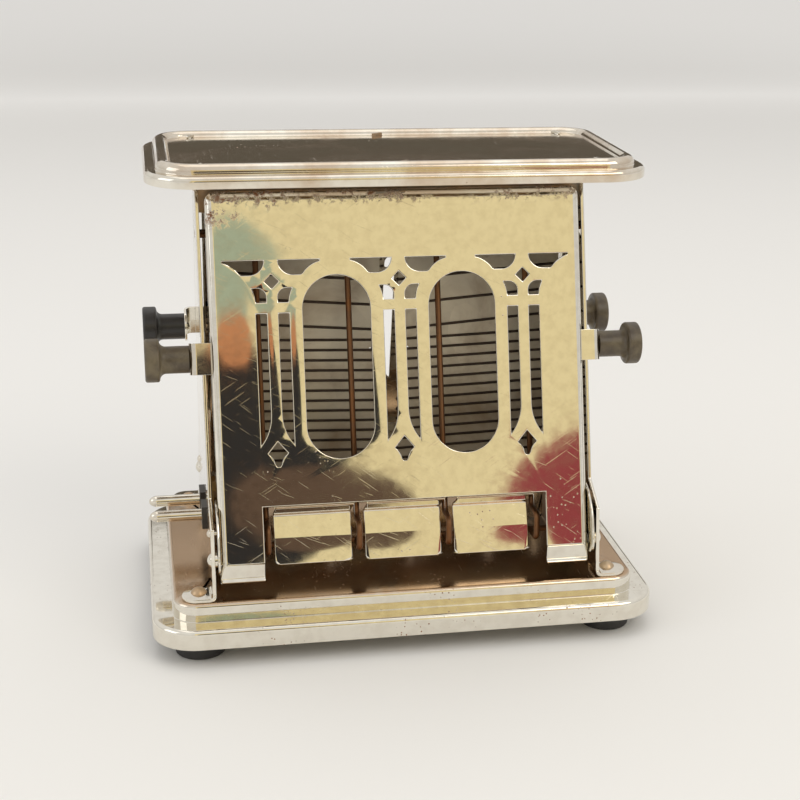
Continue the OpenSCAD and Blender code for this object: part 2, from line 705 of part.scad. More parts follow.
module hinge_ears() both_sides() door_across(door_w / 2, ear_t) difference() {
    union() {
        translate([0, hinge_v]) circle(ear_r);
        intersection() {
            translate([14, hinge_v + 4.8]) circle(14 + ear_r);
            translate([-ear_r, hinge_v]) square([ear_r + ear_back, 24]);
        }
    }
    translate([0, hinge_v]) circle(d = hinge_dia + 2 * hinge_clear);
}
module hinge_ears_front() color("lightgray") hinge_ears();
module hinge_ears_rear() color("lightgray") rotate([0, 0, 180]) hinge_ears();

/* Plug pins */
shank_dia = pin_dia * 0.84;
bush_dia = shank_dia + 2.4;
module at_pins() {
    for (s = [-1, 1]) translate([-plate_out, s * pin_spacing / 2, pin_z]) rotate([0, -90, 0])
        children();
}
nut_h = 2.6;
module plug_pins() color("silver") at_pins() {
    straight = pin_reach - pin_dia * 0.7;
    low = -(plate_t + washer_t + lead_t + nut_h + 1);
    translate([0, 0, washer_t]) cylinder(d = pin_dia, h = straight - washer_t);
    translate([0, 0, low]) cylinder(d = shank_dia, h = washer_t - low);
    translate([0, 0, straight]) rotate_extrude() intersection() {
        scale([1, 1.4]) circle(d = pin_dia);
        square(pin_dia);
    }
}
module pin_insulators() color("dimgray") at_pins() difference() {
    union() {
        translate([-washer_side / 2, -washer_side / 2, 0])
            cube([washer_side, washer_side, washer_t]);
        translate([0, 0, -plate_t]) cylinder(d = bush_dia, h = plate_t);
        translate([0, 0, -plate_t - washer_t]) cylinder(d = washer_side, h = washer_t);
    }
    translate([0, 0, -overall_h / 2]) cylinder(d = shank_dia + 2 * press_clear, h = overall_h);
}
module pin_nuts() color("goldenrod") at_pins()
    translate([0, 0, -(plate_t + washer_t + lead_t + nut_h)]) difference() {
        cylinder(d = 2 * shank_dia, h = nut_h, $fn = 6);
        translate([0, 0, -1]) cylinder(d = shank_dia + 2 * press_clear, h = nut_h + 2);
    }

/* Doors */
// Blade-shaped slots, windows and small ornaments, drawn from the door's top downwards
module right_half_ornament() {
    // Wing with a bowl-shaped inner end and a drawn-out tip
    difference() {
        union() {
            intersection() {
                translate([8.6, -27.2]) circle(5.8);
                translate([0, -40]) square([8.6, 40 - 27.4]);
            }
            polygon([[8.6, -27.4], [19.1, -27.4], [19.1, -28.2], [11.6, -33], [8.6, -33]]);
        }
        translate([22, -39.3]) circle(11.8);
    }
    // Leaf with a rounded inner shoulder
    difference() {
        union() {
            intersection() {
                translate([5.9, -41.8]) circle(3.6);
                translate([2, -41.8]) square([3.9, 4]);
            }
            polygon([[2.3, -43.8], [2.3, -41.8], [5.9, -41.8], [5.9, -38.2], [7.9, -38.2], [7.9, -43.8]]);
        }
        translate([19, -44.2]) circle(12.6);
    }
    // Tall slot that narrows to a point at its outer lower corner
    translate([bar_half, -87.8]) square([slot_w, 39.7]);
    intersection() {
        blade_r = (slot_w * slot_w + 144) / (2 * slot_w);
        translate([bar_half + blade_r, -87.8]) circle(blade_r, $fn = 96);
        translate([bar_half, -103.8]) square([slot_w, 16]);
    }
}
module column() {
    for (m = [0, 1]) mirror([m, 0]) right_half_ornament();
    translate([0, -35.6]) rotate(45) square(4.2, center = true);
    translate([0, -103.1]) difference() {
        polygon([[0, 4.6], [3.8, 0], [0.6, -5.4], [-0.6, -5.4], [-3.8, 0]]);
        for (m = [0, 1]) mirror([m, 0]) translate([7.4, -5.4]) circle(6.3);
    }
}
module window() {
    r = window_w / 2;
    translate([-r, -window_top - window_h + r]) square([window_w, window_h - window_w]);
    for (y = [window_top + r, window_top + window_h - r]) translate([0, -y]) circle(r);
}
module pattern() translate([0, door_h]) {
    for (i = [-1, 0, 1]) translate([i * column_pitch, 0]) column();
    for (m = [0, 1]) mirror([m, 0]) translate([column_pitch / 2, 0]) window();
}
pan_corner_r = door_edge_r + 1;
module pan_solid(inset, r, top, depth) {
    tall = door_h + 40;
    translate([0, door_h - tall / 2, 0]) swept(door_w, tall, pan_corner_r)
        step_profile(-depth, -top, inset, r);
}
// Shallow pan with its turned edges, pierced face, legs and curled feet
module door_pan() difference() {
    pan_solid(0, door_edge_r, 0, door_edge);
    pan_solid(sheet, door_edge_r - sheet, sheet, door_edge + 1);
    translate([-door_w, -door_h, -2 * door_edge]) cube([2 * door_w, door_h, 4 * door_edge]);
    translate([-cutout_w / 2, -1, -2 * door_edge]) cube([cutout_w, cutout_h + 1, 4 * door_edge]);
    translate([-door_w, -1, -door_edge_r]) cube([2 * door_w, curl_h + 1, 2 * door_edge_r]);
    translate([0, 0, -door_edge_r]) linear_extrude(2 * door_edge_r) pattern();
    both_sides() translate([door_w / 2 - 2 * sheet, knob_v - strap_h / 2 - stop_gap,
        -strap_d - strap_t - stop_gap])
        cube([3 * sheet, strap_h + 2 * stop_gap, strap_t + 2 * stop_gap]);
}
module leg_curl() {
    lip = sheet / 2;
    bent_outline([[lip, curl_h + 1.5], [lip, curl_h], [door_edge_r - lip, 2],
        [door_edge_r - 1.6, lip]], [0, 1.6, 1.2, 0], sheet);
}
module tab() {
    mid = sheet / 2;
    v_inner = cutout_h - shelf_fall;
    v_ridge = v_inner - 9.7;
    intersection() {
        rotate([90, 0, 90]) translate([0, 0, -tab_w / 2])
            linear_extrude(tab_w) rotate(-90)
                bent_outline([[mid, cutout_h + 2], [mid, cutout_h - mid], [shelf_d, v_inner],
                    [tab_d, v_ridge], [tab_d, v_ridge - tab_h]], [0, 1.6, 1.4, 2.5, 0], sheet);
        translate([0, 0, -2 * shelf_d]) linear_extrude(3 * shelf_d) tab_plan(v_ridge - tab_h);
    }
}
module tab_plan(low) {
    r = 2;
    translate([-tab_w / 2, low + r]) square([tab_w, cutout_h + 5 - low]);
    translate([-tab_w / 2 + r, low]) square([tab_w - 2 * r, 2 * r]);
    for (s = [-1, 1]) translate([s * (tab_w / 2 - r), low + r]) circle(r);
}
module door() {
    door_frame() {
        door_pan();
        for (i = [-1, 0, 1]) translate([i * tab_pitch, 0, 0]) tab();
    }
    both_sides() intersection() {
        door_across(cutout_w / 2, (door_w - cutout_w) / 2) leg_curl();
        door_frame() pan_solid(0, door_edge_r, 0, door_edge);
    }
}
module door_front() color("khaki") door();
module door_rear() color("khaki") rotate([0, 0, 180]) door();

/* Knobs */
strap_d = door_edge_r + 0.2;
strap_bend = 2.4;
// Strap from the back of the door, out through its turned edge and back beside the end plate
module knob_strap() {
    tail_x = door_w / 2 - 15;
    jog_x = door_w / 2 - door_edge_r;
    mid = strap_d + strap_t / 2;
    back = sheet + strap_t / 2;
    out_x = strap_out - strap_t / 2;
    end_r = strap_h / 2;
    difference() {
        door_frame() intersection() {
            translate([0, knob_v + strap_h / 2, 0]) rotate([90, 0, 0]) linear_extrude(strap_h)
                mirror([0, 1]) bent_outline([[tail_x, back], [jog_x - 1.2, back], [jog_x + 0.8, mid],
                    [out_x, mid], [out_x, knob_d + end_r]], [0, 0.6, 0.6, strap_bend, 0], strap_t);
            union() {
                translate([tail_x, knob_v - end_r, -knob_d]) cube([30, strap_h, knob_d]);
                translate([tail_x, knob_v, -knob_d]) rotate([0, 90, 0]) cylinder(r = end_r, h = 30);
            }
        }
        at_knob() cylinder(d = knob_screw_dia + 2 * press_clear, h = 40, center = true);
    }
}
// Frame on the knob axis, with Z outwards from the strap's outer face
module at_knob() {
    door_frame() translate([strap_out, knob_v, -knob_d]) rotate([0, 90, 0]) children();
}
screw_depth = 10;
module knob() at_knob() difference() {
    rotate_extrude() knob_half();
    translate([0, 0, -1]) cylinder(d = knob_screw_dia + 2 * press_clear, h = screw_depth + 1.5);
}
// Turned section: straight neck, concave flare, small bead and a rounded rim
module knob_half() {
    neck = knob_neck_dia / 2;
    rim = knob_rim_dia / 2;
    rim_z = knob_l - knob_rim_t;
    flare = rim - neck - 0.8;
    edge = 1;
    square([neck, rim_z]);
    difference() {
        translate([0, rim_z - flare]) square([neck + flare, flare]);
        translate([neck + flare, rim_z - flare]) circle(flare);
    }
    translate([0, rim_z]) square([rim - edge, knob_rim_t - edge]);
    translate([0, rim_z + edge]) square([rim, knob_rim_t - 2 * edge]);
    for (z = [rim_z + edge, knob_l - edge]) translate([rim - edge, z]) circle(edge);
    dome_h = edge;
    ball = (pow(rim - edge, 2) + dome_h * dome_h) / (2 * dome_h);
    translate([0, rim_z]) square([rim - edge, knob_rim_t - edge]);
    intersection() {
        translate([0, knob_l - ball]) circle(ball, $fn = 96);
        translate([0, rim_z]) square([rim - edge, knob_rim_t]);
    }
}
module knob_screw() at_knob() {
    translate([0, 0, -strap_t]) mirror([0, 0, 1]) dome(1.8 * knob_screw_dia, 1.2);
    translate([0, 0, -strap_t]) cylinder(d = knob_screw_dia, h = screw_depth);
}
module knob_strap_front_left() color("silver") mirror([1, 0, 0]) knob_strap();
module knob_strap_front_right() color("silver") knob_strap();
module knob_strap_rear_left() color("silver") rotate([0, 0, 180]) knob_strap();
module knob_strap_rear_right() color("silver") rotate([0, 0, 180]) mirror([1, 0, 0]) knob_strap();
module knob_front_left() color("saddlebrown") mirror([1, 0, 0]) knob();
module knob_front_right() color("saddlebrown") knob();
module knob_rear_left() color("black") rotate([0, 0, 180]) knob();
module knob_rear_right() color("saddlebrown") rotate([0, 0, 180]) mirror([1, 0, 0]) knob();
module knob_screws_front() color("silver") both_sides() knob_screw();
module knob_screws_rear() color("silver") rotate([0, 0, 180]) both_sides() knob_screw();

base_tray();
feet();
foot_rivets();
foot_washers();
end_plate_left();
end_plate_right();
top_cover();
top_rail();
cross_strap();
rail_rivets();
lower_strap();
strap_rivets();
card_clips();
mica_card_left();
mica_card_right();
winding_left();
winding_right();
jumper_strip();
lead_strip();
return_strip();
guard_front();
guard_rear();
hinge_pins();
stop_studs();
plug_pins();
pin_insulators();
pin_nuts();
door_front();
door_rear();
hinge_ears_front();
hinge_ears_rear();
knob_strap_front_left();
knob_strap_front_right();
knob_strap_rear_left();
knob_strap_rear_right();
knob_front_left();
knob_front_right();
knob_rear_left();
knob_rear_right();
knob_screws_front();
knob_screws_rear();
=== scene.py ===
import json
import math

import bpy
from bpy.props import FloatProperty, FloatVectorProperty, PointerProperty
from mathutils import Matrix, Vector

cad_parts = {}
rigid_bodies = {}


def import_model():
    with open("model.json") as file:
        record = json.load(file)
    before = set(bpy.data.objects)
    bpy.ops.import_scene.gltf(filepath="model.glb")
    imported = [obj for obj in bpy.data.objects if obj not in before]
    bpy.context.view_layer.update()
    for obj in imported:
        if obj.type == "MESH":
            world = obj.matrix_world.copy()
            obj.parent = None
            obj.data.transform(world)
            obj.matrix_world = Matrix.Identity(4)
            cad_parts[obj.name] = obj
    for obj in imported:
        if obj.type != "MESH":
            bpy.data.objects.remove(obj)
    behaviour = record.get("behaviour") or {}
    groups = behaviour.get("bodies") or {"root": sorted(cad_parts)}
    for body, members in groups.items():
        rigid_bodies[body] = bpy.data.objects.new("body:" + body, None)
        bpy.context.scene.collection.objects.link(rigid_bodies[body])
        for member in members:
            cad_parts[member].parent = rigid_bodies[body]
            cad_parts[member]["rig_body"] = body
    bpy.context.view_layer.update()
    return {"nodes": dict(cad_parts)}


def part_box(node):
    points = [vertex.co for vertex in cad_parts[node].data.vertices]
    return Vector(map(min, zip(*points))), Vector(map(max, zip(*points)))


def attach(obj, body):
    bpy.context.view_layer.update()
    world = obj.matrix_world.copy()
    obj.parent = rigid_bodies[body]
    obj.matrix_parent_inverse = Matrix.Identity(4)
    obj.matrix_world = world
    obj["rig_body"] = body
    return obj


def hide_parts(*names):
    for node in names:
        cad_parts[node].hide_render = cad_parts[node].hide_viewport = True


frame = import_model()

bl_info = {
    "name": "Drop side toaster",
    "version": (1, 0, 0),
    "blender": (4, 5, 0),
    "location": "3D View > Sidebar > Toaster",
    "description": "Finishes, rounded edges and studio for the packed drop side toaster",
    "category": "Object",
}

MM = 0.001
# Frame sizes that the finishes need: the heights of the tray's and the door's tops
TRAY_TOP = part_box("base_tray")[1].z
DOOR_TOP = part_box("door_front")[1].z
# Fine scratches: how each set is turned, in degrees, and how close its lines lie, per metre
HAIRLINES = ((24, 5200), (-38, 4600), (68, 5600))
HAIRLINE_STRETCH = 120
DEEP_LINES = ((-22, 3600), (-36, 4200), (31, 3300))
DEEP_STRETCH = 75
# The rust under a door's top edge: how deep it reaches, and how much deeper at the left corner
RUST_DEPTH = 7 * MM
RUST_CORNER = 8 * MM


def colour(name, default, description):
    return FloatVectorProperty(
        name=name, description=description, default=default, size=3, min=0, max=1, subtype="COLOR"
    )


def power(name, default, description):
    return FloatProperty(name=name, description=description, default=default, unit="POWER")


def length(name, default, description):
    return FloatProperty(name=name, description=description, default=default, min=0, unit="LENGTH")


class ToasterFinish(bpy.types.PropertyGroup):
    """Colours of the toaster's finishes."""

    chrome: colour("Chrome", (0.82, 0.785, 0.70), "Aged chrome, warm from years of heat")
    chrome_dull: colour("Dulled chrome", (0.56, 0.50, 0.41), "Clouded chrome on the tray")
    tarnish: colour("Tarnish", (0.46, 0.285, 0.145), "Brown film on the hot parts of the plating")
    rust: colour("Rust", (0.26, 0.115, 0.045), "Rust along cut edges and pits")
    inner: colour("Inner steel", (0.30, 0.27, 0.23), "Heat-dulled steel inside")
    wire: colour("Guard wire", (0.20, 0.105, 0.055), "Coppery brown of the heated wires")
    mica: colour("Mica", (0.66, 0.59, 0.46), "Silvery brown mica")
    mica_dark: colour("Mica stain", (0.26, 0.17, 0.095), "Scorched places in the mica")
    ribbon: colour("Ribbon", (0.085, 0.06, 0.045), "Oxidised resistance ribbon")
    brass: colour("Brass", (0.46, 0.32, 0.13), "Tarnished brass")
    knob: colour("Brown knob", (0.060, 0.043, 0.026), "Brown moulding")
    knob_faded: colour("Faded knob", (0.150, 0.120, 0.070), "Brown moulding bleached on its rim")
    knob_black: colour("Black knob", (0.018, 0.016, 0.015), "Black moulding")
    rubber: colour("Foot", (0.022, 0.021, 0.021), "Black feet")


class ToasterEdges(bpy.types.PropertyGroup):
    """Sizes of the small rounds on cut edges."""

    sheet: length("Sheet edge", 0.40 * MM, "Round on the edges of pressed sheet")
    plate: length("Plate edge", 0.35 * MM, "Round on the edges of the end plates")
    small: length("Small edge", 0.15 * MM, "Round on straps, clips and nuts")


class ToasterStage(bpy.types.PropertyGroup):
    """Camera, lights, floor and backdrop."""

    camera_place: FloatVectorProperty(
        name="Camera",
        description="Camera's place",
        default=(-0.10033, -0.6476, 0.29721),
        subtype="TRANSLATION",
    )
    camera_turn: FloatVectorProperty(
        name="Camera turn",
        description="Camera's rotation",
        default=(math.radians(70.9987), math.radians(-1.1263), math.radians(-11.5112)),
        subtype="EULER",
    )
    lens: FloatProperty(name="Lens", description="Focal length in millimetres", default=72.99, min=1)
    shift_x: FloatProperty(name="Shift X", description="Sideways framing", default=-0.089)
    shift_y: FloatProperty(name="Shift Y", description="Upright framing", default=0.0373)
    floor: colour("Floor", (0.86, 0.855, 0.845), "Pale floor and backdrop")
    card: colour("Dark card", (0.018, 0.016, 0.016), "Cards that the chrome mirrors as dark cloth")
    backdrop: colour("Dark backdrop", (0.10, 0.082, 0.058), "Card behind, which the cover mirrors")
    fold: colour("Brown fold", (0.11, 0.065, 0.04), "Brown cloth that the front door mirrors")
    warm: colour("Warm wall", (0.86, 0.73, 0.42), "Lamp-lit wall that the doors mirror")
    green: colour("Green card", (0.40, 0.46, 0.33), "Green thing that the front door mirrors")
    orange: colour("Orange card", (0.58, 0.24, 0.10), "Orange thing that the front door mirrors")
    red: colour("Red card", (0.30, 0.045, 0.05), "Red thing that the front door mirrors")
    key: power("Key light", 6.5, "Power of the large soft light")
    fill: power("Fill light", 1.8, "Power of the side light and of the light above")
    world: FloatProperty(name="World", description="Strength of the even light", default=0.85)


def finish():
    return bpy.context.scene.toaster_finish


class Shader:
    """Short ways to add nodes to a material or group and to join them."""

    def __init__(self, tree):
        self.tree = tree

    def add(self, kind, inputs=None, **settings):
        node = self.tree.nodes.new(kind)
        for key, value in settings.items():
            setattr(node, key, value)
        for key, value in (inputs or {}).items():
            if isinstance(value, bpy.types.NodeSocket):
                self.tree.links.new(value, node.inputs[key])
            else:
                node.inputs[key].default_value = value
        return node

    def math(self, operation, a, b=0.0, clamp=False):
        return self.add("ShaderNodeMath", {0: a, 1: b}, operation=operation, use_clamp=clamp).outputs[0]

    def ramp(self, value, low, high, to_low=0.0, to_high=1.0, smooth=True):
        node = self.add(
            "ShaderNodeMapRange",
            {"Value": value, "From Min": low, "From Max": high, "To Min": to_low, "To Max": to_high},
            interpolation_type="SMOOTHSTEP" if smooth else "LINEAR",
            clamp=True,
        )
        return node.outputs["Result"]

    def mix(self, share, a, b):
        node = self.add("ShaderNodeMix", data_type="RGBA")
        for key, value in ((0, share), (6, a), (7, b)):
            if isinstance(value, bpy.types.NodeSocket):
                self.tree.links.new(value, node.inputs[key])
            else:
                node.inputs[key].default_value = (*value, 1) if key else value
        return node.outputs[2]

    def place(self, scale=(1, 1, 1), turn=(0, 0, 0), move=(0, 0, 0)):
        coords = self.add("ShaderNodeTexCoord").outputs["Object"]
        return self.add(
            "ShaderNodeMapping", {"Vector": coords, "Scale": scale, "Rotation": turn, "Location": move}
        ).outputs["Vector"]

    def lines(self, scale, angle, move, seed, detail):
        """Noise drawn out into fine lines, turned by angle and moved by a seed."""
        turned = self.place(turn=(0, math.radians(angle), math.radians(angle)), move=(move, 0, move))
        drawn = self.add("ShaderNodeVectorMath", {0: turned, 1: scale}, operation="MULTIPLY").outputs[0]
        moved = self.add("ShaderNodeVectorMath", {0: drawn, 1: seed}, operation="ADD").outputs[0]
        return self.noise(moved, 1.0, detail=detail)

    def noise(self, vector, scale, detail=4.0, rough=0.55, distortion=0.0):
        return self.add(
            "ShaderNodeTexNoise",
            {
                "Vector": vector,
                "Scale": scale,
                "Detail": detail,
                "Roughness": rough,
                "Distortion": distortion,
            },
        ).outputs["Fac"]


def group(name, inputs, outputs):
    """Makes an effect's node group with named sockets, and returns its shader, inputs and end."""
    tree = bpy.data.node_groups.new(name, "ShaderNodeTree")
    for label, default in inputs.items():
        socket = tree.interface.new_socket(label, in_out="INPUT", socket_type="NodeSocketFloat")
        socket.default_value = default
    for label in outputs:
        tree.interface.new_socket(label, in_out="OUTPUT", socket_type="NodeSocketFloat")
    s = Shader(tree)
    return s, s.add("NodeGroupInput").outputs, s.add("NodeGroupOutput").inputs


def use(shader, name, **values):
    """Places a group in a material, with its own values, and returns its outputs."""
    node = shader.add("ShaderNodeGroup", node_tree=bpy.data.node_groups[name])
    for label, value in values.items():
        socket = node.inputs[label.replace("_", " ")]
        if isinstance(value, bpy.types.NodeSocket):
            shader.tree.links.new(value, socket)
        else:
            socket.default_value = value
    return node.outputs


def scratches_group():
    """Hairline wiping marks in three directions, and a few long deep scratches."""
    given_first = {"Hairlines": 0.5, "Deep": 0.2, "Seed": 0.0}
    s, given, end = group("Scratches", given_first, ["Mask", "Deep Mask"])
    total = None
    for k, (angle, fine) in enumerate(HAIRLINES):
        drawn = (HAIRLINE_STRETCH, HAIRLINE_STRETCH, fine)
        line = s.ramp(s.lines(drawn, angle, 0.31 * k, given["Seed"], 1.0), 0.66, 0.80)
        total = line if total is None else s.math("MAXIMUM", total, line)
    patches = s.ramp(s.noise(s.place(), 55.0, detail=3.0), 0.38, 0.66)
    patched = s.math("MULTIPLY", total, patches)
    s.tree.links.new(s.math("MULTIPLY", patched, given["Hairlines"]), end["Mask"])
    deep = None
    for k, (angle, fine) in enumerate(DEEP_LINES):
        drawn = (DEEP_STRETCH, DEEP_STRETCH, fine)
        line = s.ramp(s.lines(drawn, angle, 0.53 * k, given["Seed"], 0.0), 0.79, 0.85)
        deep = line if deep is None else s.math("MAXIMUM", deep, line)
    s.tree.links.new(s.math("MULTIPLY", deep, given["Deep"]), end["Deep Mask"])


def pits_group():
    """Small round pits and specks, gathered in patches."""
    given_first = {"Scale": 700.0, "Size": 0.22, "Spread": 0.5, "Patch": 60.0}
    s, given, end = group("Pits", given_first, ["Mask"])
    cells = s.add(
        "ShaderNodeTexVoronoi",
        {"Vector": s.place(), "Scale": given["Scale"], "Randomness": 1.0},
        feature="F1",
    )
    dot = s.ramp(s.math("SUBTRACT", cells.outputs["Distance"], given["Size"]), 0.0, 0.06, 1.0, 0.0)
    chosen = s.ramp(s.add("ShaderNodeSeparateColor", {0: cells.outputs["Color"]}).outputs[0], 0.45, 0.5)
    patch = s.noise(s.place(), given["Patch"], detail=3.0)
    near = s.ramp(s.math("SUBTRACT", patch, s.math("SUBTRACT", 1.0, given["Spread"])), -0.04, 0.08)
    s.tree.links.new(s.math("MULTIPLY", s.math("MULTIPLY", dot, chosen), near), end["Mask"])


def clouds_group():
    """Soft uneven film with finer mottling inside it."""
    given_first = {"Scale": 30.0, "Level": 0.5, "Softness": 0.14}
    s, given, end = group("Clouds", given_first, ["Mask", "Mottle"])
    vector = s.place()
    broad = s.noise(vector, given["Scale"], detail=6.0, rough=0.62, distortion=0.4)
    edge = s.math("SUBTRACT", 1.0, given["Level"])
    low = s.math("SUBTRACT", edge, given["Softness"])
    high = s.math("ADD", edge, given["Softness"])
    s.tree.links.new(s.ramp(broad, low, high), end["Mask"])
    finer = s.math("MULTIPLY", given["Scale"], 9.0)
    s.tree.links.new(s.noise(vector, finer, detail=5.0), end["Mottle"])


def material(name):
    made = bpy.data.materials.new(name)
    made.use_nodes = True
    made.node_tree.nodes.clear()
    return made, Shader(made.node_tree)


def surface(s, base, roughness, metallic=1.0, height=None, bump=0.0002, coat=None):
    """Ends a material with its Principled shader, fed by the colours and masks given."""
    node = s.add("ShaderNodeBsdfPrincipled")
    for label, value in (("Base Color", base), ("Roughness", roughness), ("Metallic", metallic)):
        if isinstance(value, bpy.types.NodeSocket):
            s.tree.links.new(value, node.inputs[label])
        else:
            node.inputs[label].default_value = (*value, 1) if label == "Base Color" else value
    if height is not None:
        bumped = s.add("ShaderNodeBump", {"Height": height, "Distance": bump, "Strength": 0.6})
        s.tree.links.new(bumped.outputs["Normal"], node.inputs["Normal"])
    if coat is not None:
        node.inputs["Coat Weight"].default_value = coat
        node.inputs["Coat Roughness"].default_value = 0.18
    s.add("ShaderNodeOutputMaterial", {"Surface": node.outputs["BSDF"]})


def height_of(s):
    """The height above the table, from the object's own coordinates."""
    place = s.add("ShaderNodeTexCoord").outputs["Object"]
    return s.add("ShaderNodeSeparateXYZ", {0: place}).outputs["Z"]


def aged_chrome(name, hairlines, deep, film, film_level, pit_spread, rust_top=None, low=0.0, seed=0.0):
    """Chrome with wiping marks, scratches, a brown film in clouds and rust pits.

    rust_top is the height of an edge that has rusted; below low the film fades out."""
    made, s = material(name)
    f = finish()
    scratch = use(s, "Scratches", Hairlines=hairlines, Deep=deep, Seed=seed)
    pits = use(s, "Pits", Scale=620.0, Size=0.16, Spread=pit_spread, Patch=48.0)["Mask"]
    cloud = use(s, "Clouds", Scale=26.0, Level=film_level, Softness=0.16)
    mottle = s.ramp(cloud["Mottle"], 0.35, 0.7)
    base = s.mix(s.math("MULTIPLY", mottle, 0.25), tuple(f.chrome), tuple(f.chrome_dull))
    film_mask = s.math("MULTIPLY", cloud["Mask"], film)
    if low:
        near = s.ramp(height_of(s), low - 1.5 * MM, low + 0.2 * MM)
        film_mask = s.math("MULTIPLY", film_mask, near)
    base = s.mix(film_mask, base, tuple(f.tarnish))
    stained = pits
    if rust_top is not None:
        place = s.add("ShaderNodeTexCoord").outputs["Object"]
        side = s.add("ShaderNodeSeparateXYZ", {0: place}).outputs["X"]
        corner = s.ramp(side, -72 * MM, -38 * MM, RUST_CORNER, 0.0)
        reached = s.math("ADD", height_of(s), corner)
        band = s.ramp(reached, rust_top - RUST_DEPTH, rust_top - 0.5 * MM)
        crust = s.ramp(s.noise(s.place(), 340.0, detail=6.0, rough=0.7), 0.50, 0.62)
        broad = s.ramp(s.noise(s.place(), 38.0, detail=2.0), 0.40, 0.60)
        stained = s.math("MAXIMUM", pits, s.math("MULTIPLY", s.math("MULTIPLY", crust, band), broad))
    base = s.mix(stained, base, tuple(f.rust))
    marks = s.math("MAXIMUM", scratch["Mask"], scratch["Deep Mask"])
    rough = s.math("ADD", 0.04, s.math("MULTIPLY", mottle, 0.03))
    rough = s.math("ADD", rough, s.math("MULTIPLY", marks, 0.16))
    rough = s.math("ADD", rough, s.math("MULTIPLY", film_mask, 0.16))
    rough = s.math("ADD", rough, s.math("MULTIPLY", stained, 0.55), clamp=True)
    metal = s.math("SUBTRACT", 1.0, s.math("MULTIPLY", stained, 0.85))
    cut = s.math("MULTIPLY", scratch["Deep Mask"], 0.1)
    height = s.math("SUBTRACT", s.math("MULTIPLY", stained, 0.5), cut)
    wavy = s.math("MULTIPLY", s.noise(s.place(), 24.0, detail=1.0), 2.2)
    surface(s, base, rough, metal, s.math("ADD", height, wavy), 0.00012)
    return made


def dull_metal(name, tint, dark, roughness, scale=240.0, metallic=1.0, level=0.5, bump=0.00008):
    """Unpolished metal, mottled with a darker oxide."""
    made, s = material(name)
    cloud = use(s, "Clouds", Scale=scale / 4, Level=level, Softness=0.18)
    grain = s.noise(s.place(), scale * 8, detail=3.0)
    base = s.mix(s.math("MULTIPLY", cloud["Mask"], 0.85), tint, dark)
    rough = s.math("ADD", roughness, s.math("MULTIPLY", cloud["Mottle"], 0.22), clamp=True)
    surface(s, base, rough, metallic, s.math("ADD", grain, cloud["Mottle"]), bump)
    return made


def moulding(name, tint, worn, wear_level, roughness=0.36):
    """Old phenolic moulding: bleached and scuffed in soft clouds, with small dark specks."""
    made, s = material(name)
    cloud = use(s, "Clouds", Scale=130.0, Level=wear_level, Softness=0.22)
    turning = s.noise(s.place(scale=(9.0, 1.0, 1.0)), 420.0, detail=3.0)
    speck = use(s, "Pits", Scale=1900.0, Size=0.10, Spread=0.52, Patch=220.0)["Mask"]
    base = s.mix(cloud["Mask"], tint, worn)
    base = s.mix(s.math("MULTIPLY", speck, 0.5), base, tuple(c * 0.35 for c in tint))
    rough = s.math("ADD", roughness, s.math("MULTIPLY", cloud["Mask"], 0.22), clamp=True)
    height = s.math("ADD", turning, s.math("MULTIPLY", speck, -0.6))
    surface(s, base, rough, 0.0, height, 0.00006, coat=0.12)
    return made


def mica_sheet(name):
    """Built-up mica: flaky scales in silvery brown, scorched in broad patches."""
    made, s = material(name)
    f = finish()
    flakes = s.add("ShaderNodeTexVoronoi", {"Vector": s.place(), "Scale": 95.0}, feature="F1")
    shade = s.add("ShaderNodeSeparateColor", {0: flakes.outputs["Color"]}).outputs[0]
    cloud = use(s, "Clouds", Scale=34.0, Level=0.42, Softness=0.2)
    base = s.mix(s.math("MULTIPLY", shade, 0.4), tuple(f.mica), tuple(c * 0.72 for c in f.mica))
    base = s.mix(s.math("MULTIPLY", cloud["Mask"], 0.8), base, tuple(f.mica_dark))
    rough = s.math("ADD", 0.34, s.math("MULTIPLY", cloud["Mottle"], 0.3), clamp=True)
    surface(s, base, rough, 0.25, s.math("ADD", shade, cloud["Mottle"]), 0.00010)
    return made


def make_materials():
    scratches_group()
    pits_group()
    clouds_group()
    f = finish()
    inner, tarnish, rust = tuple(f.inner), tuple(f.tarnish), tuple(f.rust)
    # Each row: hairlines, deep scratches, strength and spread of the brown film, spread of the pits
    for name, shares, more in (
        ("Door chrome", (0.45, 0.6, 0.10, 0.34, 0.36), {"rust_top": DOOR_TOP, "seed": 2.0}),
        ("Cover chrome", (0.75, 0.6, 0.55, 0.52, 0.34), {"seed": 5.0}),
        ("Tray chrome", (0.50, 0.5, 0.92, 0.66, 0.44), {"low": TRAY_TOP, "seed": 9.0}),
        ("Plate chrome", (0.50, 0.4, 0.25, 0.42, 0.36), {"seed": 13.0}),
        ("Pin plating", (0.35, 0.3, 0.22, 0.45, 0.38), {"seed": 17.0}),
    ):
        aged_chrome(name, *shares, **more)
    dull_metal("Inner steel", inner, tarnish, 0.40)
    dull_metal("Rivet plating", (0.52, 0.40, 0.27), tarnish, 0.26, level=0.42)
    dull_metal("Guard wire", tuple(f.wire), rust, 0.38, scale=420.0, level=0.46)
    dull_metal("Ribbon", tuple(f.ribbon), tuple(c * 0.5 for c in f.ribbon), 0.55, metallic=0.7)
    dull_metal("Brass strip", tuple(f.brass), tarnish, 0.34)
    moulding("Brown knob", tuple(f.knob), tuple(f.knob_faded), 0.46)
    moulding("Black knob", tuple(f.knob_black), tuple(f.knob), 0.24)
    moulding("Insulator", (0.03, 0.024, 0.02), tuple(f.knob), 0.30)
    moulding("Foot rubber", tuple(f.rubber), (0.075, 0.07, 0.065), 0.36, roughness=0.62)
    mica_sheet("Mica sheet")


def paint(piece, name):
    piece.data.materials.clear()
    piece.data.materials.append(bpy.data.materials[name])


